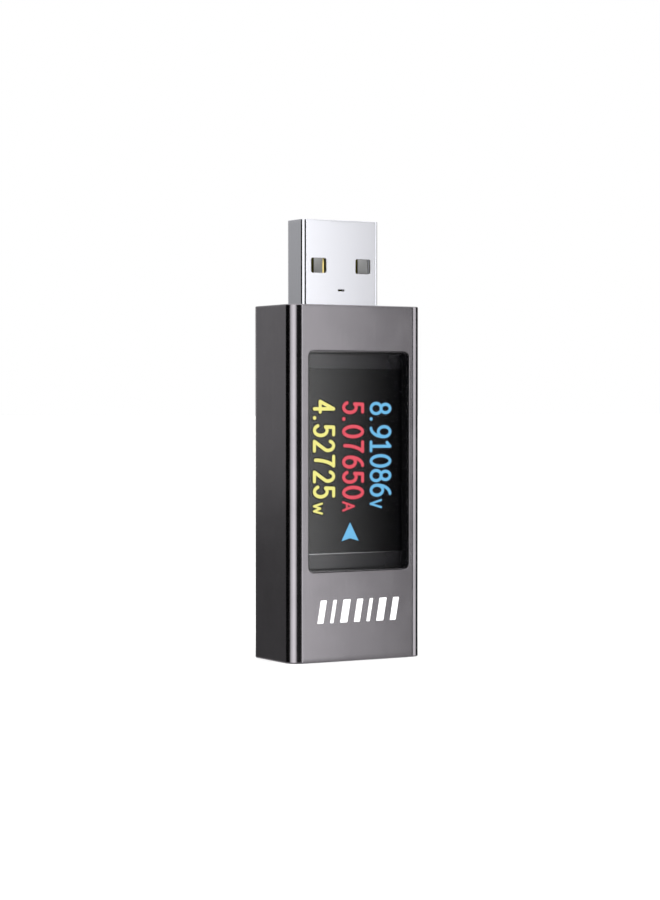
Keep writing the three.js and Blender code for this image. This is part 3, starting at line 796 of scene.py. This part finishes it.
def displayPanel():
    # glass slab with small rounded edges, and the film over its lit area
    look = displaySettings
    low, high = nodeBox("display_glass")
    middle = (low + high) / 2
    size = high - low
    profile = [(0.4, 0)] + [(-inset, depth) for inset, depth in roundEdge(look["edge"], 3)]
    profile += [(inset, size[1] - depth) for inset, depth in profile[::-1]]
    loop = lambda inset: roundLoop((middle[0], middle[2]), size[0] - 2 * inset, size[2] - 2 * inset,
                                   0.3 if inset < 0.3 else 0.1, 16, 24, 3)
    rows = [flatRow(loop(inset), low[1] + depth) for inset, depth in profile]
    makePiece("displayGlass", [(lidded(rows), False, True, 0)], "panel", "case", "display_glass")
    width, height = look["area"]
    spot = lensMiddle[[0, 2]] + look["areaMiddle"]
    front = low[1] - look["filmThickness"]
    sheet = lambda inset: roundLoop(spot, width - 2 * inset, height - 2 * inset, 0.12, 12, 20, 3)
    steps = [(0.1, 0), (0.03, 0), (0, 0.03), (0, look["filmThickness"] - 0.003)]
    rows = [flatRow(sheet(inset), front + depth) for inset, depth in steps]
    makePiece("displayFilm", [(lidded(rows), False, True, 0)], "film", "case", None)
    # thin strip along the film's lower edge, which carries the painted highlight
    foot = spot - np.array((0, height / 2 + 0.03))
    line = roundLoop(foot, width, look["filmEdge"], 0.03, 12, 8, 2)
    rows = [flatRow(line, front - 0.004), flatRow(line, front + look["filmThickness"] - 0.01)]
    makePiece("filmEdge", [(lidded(rows), False, True, 0)], "filmEdge", "case", None)
    return front


displayFront = displayPanel()


def arc(middle, size, start, end, steps=14):
    # part of an ellipse: middle + size * (cos, sin), turned from start to end degrees
    turn = np.radians(np.linspace(start, end, steps + 1))
    return np.stack([middle[0] + size[0] * np.cos(turn), middle[1] + size[1] * np.sin(turn)], 1)


def straight(*points):
    return np.array(points, float)


# centre lines of the figures and unit letters, in a box one wide and one high
glyphs = {
    "0": [arc((0.5, 0.5), (0.5, 0.5), 0, 360, 28)],
    "1": [straight((0.5, 1), (0.5, 0)), straight((0.08, 0), (0.92, 0)),
          straight((0.5, 1), (0.14, 0.84))],
    "2": [np.concatenate([arc((0.48, 0.7), (0.46, 0.3), 155, -20), straight((0.06, 0.0))]),
          straight((0.06, 0), (0.97, 0))],
    "4": [straight((0.72, 1), (0.0, 0.3)), straight((0, 0.3), (1.02, 0.3)),
          straight((0.72, 1), (0.72, 0))],
    "5": [straight((0.9, 1), (0.17, 1)), straight((0.17, 1), (0.13, 0.58)),
          arc((0.47, 0.33), (0.5, 0.33), 132, -152, 20)],
    "6": [arc((0.5, 0.31), (0.48, 0.31), 0, 360, 24), arc((0.86, 0.32), (0.84, 0.68), 178, 92)],
    "7": [straight((0.04, 1), (0.96, 1)), arc((1.42, 0.02), (1.04, 1.1), 117, 178)],
    "8": [arc((0.5, 0.76), (0.4, 0.24), 0, 360, 24), arc((0.5, 0.27), (0.49, 0.27), 0, 360, 24)],
    "9": [arc((0.5, 0.69), (0.48, 0.31), 0, 360, 24), arc((0.14, 0.68), (0.84, 0.68), -2, -88)],
    ".": [straight((0.0, 0.0), (0.01, 0.0))],
    "A": [straight((0, 0), (0.5, 1)), straight((0.5, 1), (1, 0)), straight((0.2, 0.34), (0.8, 0.34))],
    "V": [straight((0, 1), (0.5, 0)), straight((0.5, 0), (1, 1))],
    "W": [straight((0, 1), (0.25, 0)), straight((0.25, 0), (0.5, 0.8)), straight((0.5, 0.8), (0.75, 0)),
          straight((0.75, 0), (1, 1))],
}


def strokeTube(line, halfWidth, halfThick, depth, steps=8):
    # flat-sided bead along a line of (right, up) points: an ellipse for its section, whose width
    # closes to nothing over a half circle at each end
    ahead = np.gradient(line, axis=0)
    ahead /= np.linalg.norm(ahead, axis=1)[:, None]
    turn = np.linspace(math.pi / 2, 0, 6)[:-1, None]
    centres = np.concatenate([line[0] - ahead[0] * halfWidth * np.sin(turn), line,
                              line[-1] + ahead[-1] * halfWidth * np.sin(turn[::-1])])
    ahead = np.concatenate([np.repeat(ahead[:1], 5, 0), ahead, np.repeat(ahead[-1:], 5, 0)])
    share = np.concatenate([np.cos(turn[:, 0]), np.ones(len(line)), np.cos(turn[::-1, 0])])
    around = np.linspace(0, 2 * math.pi, steps + 1)[:-1]
    across = share[:, None] * halfWidth * np.cos(around)[None, :]
    lift = share[:, None] * halfThick * np.sin(around)[None, :]
    right = centres[:, :1] - ahead[:, 1:] * across
    up = centres[:, 1:] + ahead[:, :1] * across
    # the text runs down the meter: its right is -Z and its up is +X
    return np.stack([up, depth + lift, -right], -1)


figureSettings = {
    "height": 3.45,  # over the strokes
    "width": 1.84,
    "pointAdvance": 1.17,
    "halo": 0.18,  # dark border round each stroke
    "unitStroke": 0.14,
    "point": (0.12, 0.6, 1.1),  # place in its cell, box, and stroke as a share of the row's
    "lifts": (0.006, 0.035),  # of the borders and of the lit strokes, in front of the film
    "rows": [  # place is the row's start, from the window's middle; stroke is half a stroke's width
        {"text": "4.52725", "unit": "W", "colour": "yellow", "place": (-6.73, 8.3), "advance": 2.06,
         "unitSize": (1.62, 1.55), "unitGap": 0.5, "stroke": 0.235},
        {"text": "5.07650", "unit": "A", "colour": "coral", "place": (-2.18, 8.15), "advance": 2.06,
         "unitSize": (1.4, 2.0), "unitGap": 0.24, "stroke": 0.235},
        {"text": "8.91086", "unit": "V", "colour": "blue", "place": (2.16, 8.04), "advance": 1.99,
         "unitSize": (1.24, 1.95), "unitGap": 0.3, "stroke": 0.21},
    ],
}


def glyphStrokes(letter, corner, size, stroke):  # a figure's lines, fitted to its size
    box = np.array(size) - 2 * stroke
    return [corner + stroke + line * box for line in glyphs[letter]]


def figureRow(row):
    # each figure's strokes become beads, laid out one advance after another, then the unit
    look = figureSettings
    stroke = row["stroke"]
    pointAt, pointBox, pointShare = look["point"]
    beads = []
    along = 0.0

    def addGlyph(letter, left, size, half):
        beads.extend((line, half) for line in glyphStrokes(letter, np.array((left, 0.0)), size, half))

    for letter in row["text"]:
        if letter == ".":
            addGlyph(letter, along + pointAt, (pointBox, pointBox), stroke * pointShare)
            along += look["pointAdvance"]
        else:
            addGlyph(letter, along, (look["width"], look["height"]), stroke)
            along += row["advance"]
    unitAt = along - row["advance"] + look["width"] + row["unitGap"]
    addGlyph(row["unit"], unitAt, row["unitSize"], look["unitStroke"])
    origin = np.array((lensMiddle[0] + row["place"][0], 0, lensMiddle[2] + row["place"][1]))
    haloFront, litFront = [displayFront - lift for lift in look["lifts"]]
    grids = []
    for i, (line, half) in enumerate(beads):
        nudge = 0.002 * (i % 4)  # beads that cross lie at slightly different depths
        if len(line) == 2:
            line = line[0] + (line[1] - line[0]) * np.linspace(0, 1, 5)[:, None]
        halo = strokeTube(line, half + look["halo"], 0.008, haloFront - nudge)
        lit = strokeTube(line, half, 0.012, litFront - nudge)
        grids += [(halo + origin, False, True, 1), (lit + origin, False, True, 0)]
    colour = row["colour"]
    finish = (colour, "dim" + colour.capitalize())
    makePiece(colour + "Figures", grids, finish, "case", None)


arrowSettings = {
    "place": (-0.94, -9.9),  # from the window's middle
    "outline": [(0, 1.62), (-1.34, -0.9), (0, -0.52), (1.34, -0.9)],
    "layers": ((1.14, 0.01, 1), (1.0, 0.035, 0)),  # size, lift from the film, and finish
}


def directionArrow():
    # arrowhead with a notched foot, and a wider dark one behind it
    look = arrowSettings
    middle = lensMiddle[[0, 2]] + look["place"]
    outline = np.array(look["outline"])
    share = np.linspace(0, 1, 5)[:-1, None]
    sides = [outline[i] + (outline[(i + 1) % 4] - outline[i]) * share for i in range(4)]
    grids = []
    for grow, lift, paint in look["layers"]:
        loop = np.concatenate(sides) * grow + middle
        rows = [flatRow(loop, displayFront - lift), flatRow(loop, displayFront - lift + 0.008)]
        grids.append((lidded(rows), False, True, paint))
    makePiece("directionArrow", grids, ("blue", "dimBlue"), "case", None)


for row in figureSettings["rows"]:
    figureRow(row)
directionArrow()
print("display made")


markSettings = {
    "low": (-6.38, 5.24),  # left and bottom of the printed row, from the tube's middle
    "high": (6.5, 8.36),
    "bars": 7,
    "slant": 0.55,
    "widths": (0.95, 0.55, 1.15),  # repeated along the row
    "ink": 0.004,
}


def printedBars():
    # a row of plain slanted bars, each a thin slab with softened corners
    look = markSettings
    low, high = np.array(look["low"]), np.array(look["high"])
    widths = [look["widths"][i % len(look["widths"])] for i in range(look["bars"])]
    gap = (high[0] - low[0] - look["slant"] - sum(widths)) / (look["bars"] - 1)
    grids = []
    left = low[0]
    for width in widths:
        middle = (left + width / 2, (low[1] + high[1]) / 2)
        loop = roundLoop(middle, width, high[1] - low[1], 0.12, 8, 14, 3)
        lean = (loop[:, 1] - low[1]) / (high[1] - low[1]) * look["slant"]
        loop = loop + np.stack([lean + tubeMiddle[0], lean * 0], 1)
        face = tubeLow[1] - look["ink"]
        rows = [flatRow(loop, face), flatRow(loop, face + look["ink"] + 0.002)]
        grids.append((lidded(rows), False, True, 0))
        left += width + gap
    makePiece("printedBars", grids, "ink", "case", None)


printedBars()


capSettings = {"edge": 0.12, "gap": 0.15, "corner": 0.6}


def endCap(name, node, connector, connectorCorner, shellWidth, shellDepth):
    # plate with an opening: walked up its outside, across the top, down the opening and back
    look = capSettings
    low, high = nodeBox(node)
    shellLow, shellHigh = nodeBox(connector)
    middle = (low + high) / 2
    shellMiddle = (tubeMiddle[0], (shellLow[1] + shellHigh[1]) / 2)
    edge, gap = look["edge"], look["gap"]
    width, depth = (high - low)[:2]
    outer = lambda inset: roundLoop(middle[:2], width - 2 * inset, depth - 2 * inset,
                                    look["corner"] - inset, 20, 16, 5)
    inner = lambda grow: roundLoop(shellMiddle, shellWidth + 2 * (gap + grow),
                                   shellDepth + 2 * (gap + grow), connectorCorner + gap + grow, 20, 16, 5)
    level = lambda loop, z: np.column_stack([loop, np.full(len(loop), z)])
    turn = np.linspace(0, math.pi / 2, 4)
    leave, arrive = edge * (1 - np.cos(turn)), edge * (1 - np.sin(turn))
    rows = [level(outer(a), high[2] - b) for a, b in zip(leave, arrive)]
    rows += [level(inner(b), high[2] - a) for a, b in zip(leave, arrive)]
    rows += [level(inner(a), low[2] + b) for a, b in zip(leave, arrive)]
    rows += [level(outer(b), low[2] + a) for a, b in zip(leave, arrive)]
    makePiece(name, [(np.array(rows), True, True, 0)], "charcoal", "case", node)


plugSettings = {
    "size": (12.0, 4.5),
    "corner": 0.55,
    "sheet": 0.3,
    "windowMiddle": 3.5,
    "windowSize": (2.4, 2.0),
    "windowHeight": 53.5,
    "lance": (1.04, 0.27, 50.185),  # width, height and middle of the slot in front
    "edges": (0.09, 0.05),  # rounding of the mouth, outside and inside
    "split": 1.7,  # from the middle to where the windows' parts of the wall start
    "seamGap": 0.12,
    "lockDepth": 0.9,
    "lockFromTip": (4.35, 2.5),
}
socketSettings = {
    "size": (13.1, 5.7),
    "corner": 0.6,
    "sheet": 0.3,
    "edges": (0.05, 0.16),
    "top": 14.4,
    "springMiddle": 3.1,
    "windowSize": (2.4, 6.5),
    "windowHeight": 7.15,
}
for name, node, connector, look in (
    ("plugEndCap", "plug_end_cap", "plug_insulator", plugSettings),
    ("socketEndCap", "socket_end_cap", "socket_shell", socketSettings),
):
    endCap(name, node, connector, look["corner"], *look["size"])


keySettings = {
    "edge": 0.28,
    "crown": 0.05,
    "flangeGap": 0.05,  # between the wall and the flange behind it
    "flangeThickness": 0.65,
    "dome": ((1.3, 0.0), (1.0, 0.1), (0.6, 0.45)),  # insets, and share of the crown they lose
}


def functionKey():
    # cap with a crowned top and a flange behind the wall: loops, each inset by so much, stacked
    # along X
    look = keySettings
    low, high = nodeBox("function_key")
    middle = ((low[1] + high[1]) / 2, (low[2] + high[2]) / 2)
    flange = caseSettings["keyFlange"]
    width = high[1] - low[1] - 2 * flange
    length = high[2] - low[2] - 2 * flange
    flangeTop = tubeHigh[0] - caseSettings["wall"] - look["flangeGap"]
    loop = lambda inset: roundLoop(middle, width - 2 * inset, length - 2 * inset,
                                   width / 2 - 0.02 - inset, 30, 34, 14)
    edge, crown = look["edge"], look["crown"]
    back = flangeTop - look["flangeThickness"]
    rows = [(inset, high[0] - crown * share) for inset, share in (*look["dome"], (edge, 1.0))]
    rows += [(edge * (1 - math.sin(t)), high[0] - crown - edge * (1 - math.cos(t)))
             for t in np.linspace(0, math.pi / 2, 6)[1:]]
    rows += [(0, flangeTop), (-flange, flangeTop), (-flange, back), (look["dome"][0][0], back)]
    stack = [np.column_stack([np.full(len(loop(0)), x), loop(inset)]) for inset, x in rows]
    makePiece("functionKey", [(lidded(stack), False, True, 0)], "anodised", "key", "function_key")


functionKey()
print("caps and key made")


def holeOf(middle, size, radius, edge, sheet):  # a rounded opening through sheet
    profile = roundEdge(edge, 3) + [(0, sheet * 0.6), (0, sheet)]
    return {"centre": middle, "size": size, "radius": radius, "across": 14, "bend": 3,
            "profile": profile}


def plugShell():
    # folded sheet: two windows and a small slot in front, two windows and a locked seam behind
    look = plugSettings
    low, high = nodeBox("plug_shell")
    blockLow = nodeBox("plug_insulator")[0]
    half = np.array(look["size"]) / 2
    reach = half - look["corner"]
    sheet, gap = look["sheet"], look["seamGap"] / 2
    root, tip = blockLow[2] - 0.2, high[2]
    edges = look["edges"]
    length = tip - root - 2 * edges[0]
    locks = [(tip - back - root - edges[0]) / length for back in look["lockFromTip"]]
    # one set of heights for the whole shell, doubled where the lock's tab steps in and out
    stations = np.concatenate([np.linspace(0, locks[0], 14), np.linspace(*locks, 5),
                               np.linspace(locks[1], 1, 8)])
    locked = np.zeros(len(stations))
    locked[14:19] = 1
    shift = np.zeros(len(stations))
    shift[13:15], shift[18:20] = gap, -gap
    middle, size = look["windowMiddle"], look["windowSize"]
    window = lambda along: holeOf((along, look["windowHeight"]), size, 0.25, 0.05, sheet)
    slotWidth, slotHeight, slotAt = look["lance"]
    lance = holeOf((0.0, slotAt), (slotWidth, slotHeight), 0.1, 0.02, sheet)
    split = look["split"]
    tab = look["lockDepth"] * locked
    cells = [
        [{"span": (-reach[0], -split), "hole": window(-middle)},
         {"span": (-split, split), "hole": lance},
         {"span": (split, reach[0]), "hole": window(middle)}],
        [{"span": (-reach[1], reach[1])}],
        [{"span": (-reach[0], -split), "hole": window(-middle)},
         {"span": (-split, -gap), "edge": (tab - gap, shift), "far": -split, "breakAfter": True},
         {"span": (gap, split), "edge": (tab + gap, -shift), "far": split},
         {"span": (split, reach[0]), "hole": window(middle)}],
        [{"span": (-reach[1], reach[1])}],
    ]
    shape = {
        "half": half, "radius": look["corner"], "wall": sheet, "edges": edges, "stations": stations,
        "centre": np.array((tubeMiddle[0], high[1] - half[1])), "ends": (root, tip), "bend": 8,
    }
    makePiece("plugShell", boxTube(shape, cells), "nickel", "case", "plug_shell")


contactSettings = {
    "width": 1.3, "face": 1.33, "sheet": 0.14, "root": 41.6,
    "rise": 1.0,  # length over which the tip curves down into the block
    "dip": 0.12,
    "rib": ((-1, 0), (-0.85, 0), (-0.57, 0.12), (1, 0)),  # half-widths across, and height
}


def plugContact(number):
    # gold strip with a low rib, whose steep flank is bright gold and the rest a darker copy as painted
    # shade; the tip sinks by dip * t * t
    look = contactSettings
    low, high = nodeBox("plug_contact_%d" % number)
    middle = (low[0] + high[0]) / 2
    places, heights = np.array(look["rib"]).T
    across = np.concatenate([places[:2], np.linspace(places[2], places[3], 15)])
    face = look["face"] - np.interp(across, places, heights)
    front = np.stack([across * look["width"] / 2, face], 1)
    back = np.stack([-across[::4] * look["width"] / 2, np.full(5, look["face"] + look["sheet"])], 1)
    section = np.concatenate([front, back, front[:1]])
    start = high[2] - look["rise"]
    z = np.concatenate([np.linspace(look["root"], start, 24), np.linspace(start, high[2], 9)[1:]])
    sink = look["dip"] * np.clip((z - start) / look["rise"], 0, 1) ** 2
    rows = [section[None, :, 0] + middle, section[None, :, 1] + sink[:, None], z[:, None]]
    rows = np.stack(np.broadcast_arrays(*rows), -1)
    ends = np.repeat(rows[[0, -1], :-1].mean(1)[:, None], len(section), 1)
    rows = np.concatenate([ends[:1], rows, ends[1:]])
    columns = ((0, 2, 1), (1, 3, 0), (2, None, 1))  # first, end and finish; the flank is bright gold, the rest painted shade
    grids = [(rows[:, first:end], False, False, paint) for first, end, paint in columns]
    name = "plugContact%d" % number
    makePiece(name, grids, ("gold", "goldShade"), "case", "plug_contact_%d" % number)


def socketShell():
    # drawn sheet with a window for each retention spring
    look = socketSettings
    low, high = nodeBox("socket_shell")
    half = np.array(look["size"]) / 2
    reach = half - look["corner"]
    window = lambda along: holeOf((along, look["windowHeight"]), look["windowSize"], 0.15, 0.04,
                                  look["sheet"])
    middle = look["springMiddle"]
    wide = [{"span": (-reach[0], 0.0), "hole": window(-middle)},
            {"span": (0.0, reach[0]), "hole": window(middle)}]
    side = [{"span": (-reach[1], reach[1])}]
    shape = {
        "half": half, "radius": look["corner"], "wall": look["sheet"], "edges": look["edges"],
        "stations": np.linspace(0, 1, 24), "bend": 8, "ends": (low[2], look["top"]),
        "centre": np.array((tubeMiddle[0], low[1] + half[1])),
    }
    grids = boxTube(shape, [wide, side, wide, side])
    makePiece("socketShell", grids, "nickel", "case", "socket_shell")


plugShell()
for number in range(1, 5):
    plugContact(number)
socketShell()
print("connector shells made")


# the other CAD nodes keep their shapes and take a finish
nodeFinishes = {
    "tape": ["window_adhesive"],
    "white": ["display_backlight", "plug_insulator", "tact_switch_plunger"],
    "ribbon": ["display_flex"],
    "pale": ["flex_connector", "socket_tongue"],
    "mask": ["main_pcb"],
    "epoxy": ["microcontroller", "current_sensor", "voltage_regulator", "shunt_resistor",
              "power_inductor", "tact_switch_body"],
    "ceramic": ["input_capacitor", "output_capacitor"],
    "nickel": ["timing_crystal"] + ["socket_spring_%d" % n for n in range(1, 5)],
    "gold": [kind % n for kind in ("socket_contact_%d", "socket_terminal_%d") for n in range(1, 5)],
}
for key, names in nodeFinishes.items():
    for name in names:
        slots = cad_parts[name].data.materials
        slots.clear()
        slots.append(finishes[key])
print("inner nodes finished")
